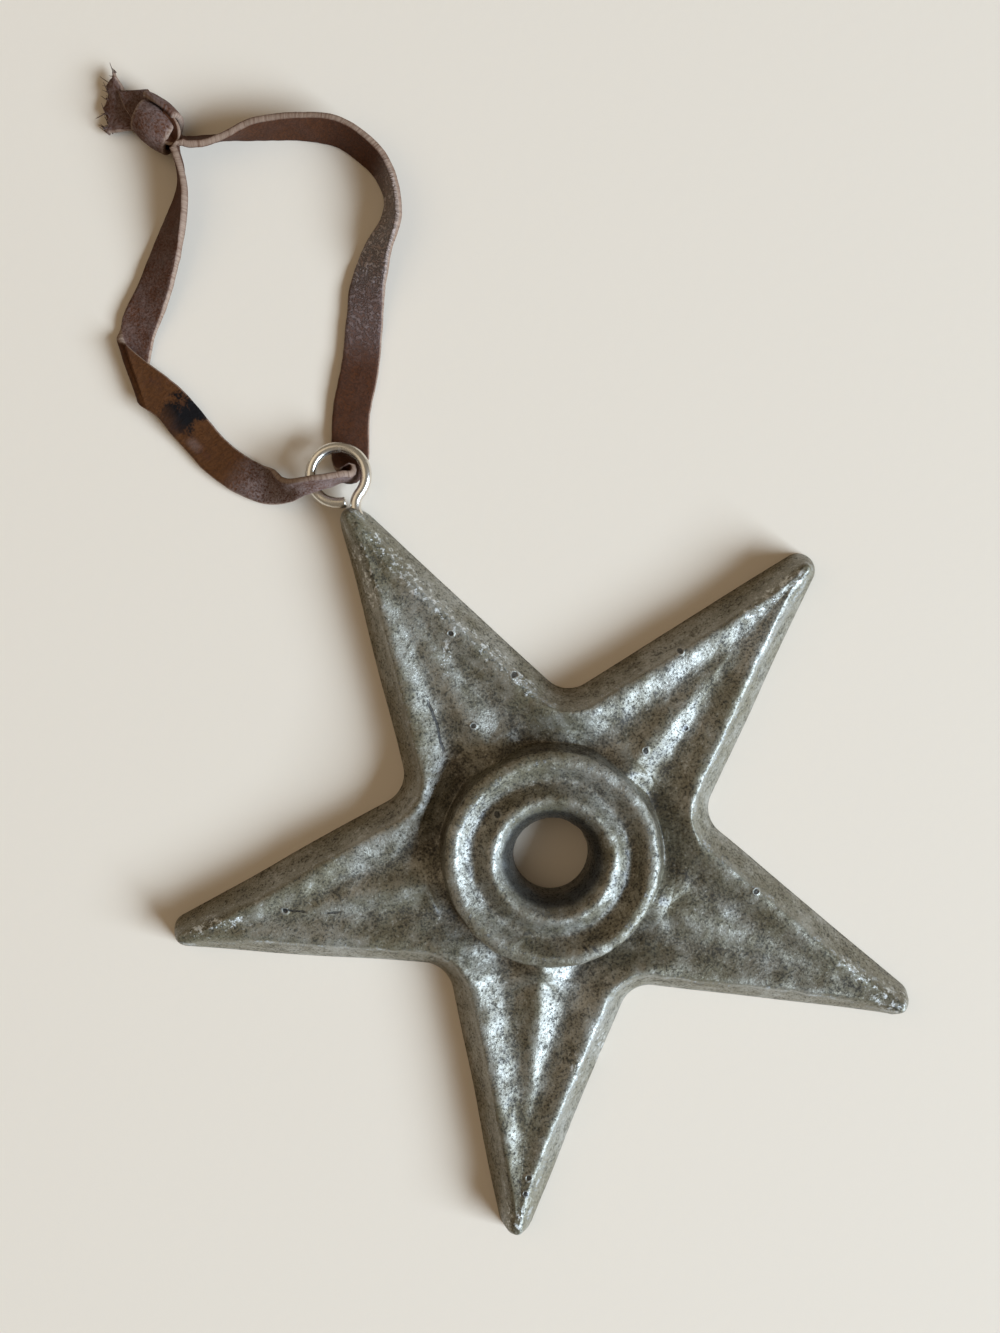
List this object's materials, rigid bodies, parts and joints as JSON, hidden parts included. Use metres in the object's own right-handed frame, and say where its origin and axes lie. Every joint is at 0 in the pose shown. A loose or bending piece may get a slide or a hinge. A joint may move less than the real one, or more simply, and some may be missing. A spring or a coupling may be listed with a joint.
{
  "type": "hanging star ornament",
  "caption": "Cast star-shaped anchor-plate ornament with ribbed arms, a beaded hub with a through bore, a screw eye in a point and a knotted leather lace to hang it by.",
  "frame": {"origin": "on the axis of the hub's bore, at the flat back of the star", "axes": "+Z out of the front of the star along the bore, +Y towards the point that carries the screw eye, +X to the right seen from the front"},
  "size_m": [0.0952, 0.1533, 0.008],
  "materials": {
    "aged_casting": "cast resin painted as aged iron: satin grey with an olive-brown patina and pale worn edges",
    "plated_wire": "bright nickel-plated steel wire",
    "lace_leather": "dark brown crinkled grain leather with a paler suede underside"
  },
  "bodies": {
    "star": {"star_casting": "aged_casting", "screw_eye": "plated_wire"},
    "lace_bight": {"lace_bight": "lace_leather"},
    "lace_loop": {"lace_left_strand": "lace_leather", "lace_right_strand": "lace_leather", "lace_knot": "lace_leather", "lace_tails": "lace_leather"}
  },
  "joints": [
    {"name": "lace_swivel", "type": "hinge", "parent": "star", "child": "lace_bight", "pos_m": [0.00137, 0.05495, 0.0028], "axis": [0, 0, 1], "range_deg": [-60, 60]},
    {"name": "lace_lift", "type": "hinge", "parent": "lace_bight", "child": "lace_loop", "pos_m": [0, 0.06045, 0.00115], "axis": [1, 0, 0], "range_deg": [0, 110]}
  ]
}
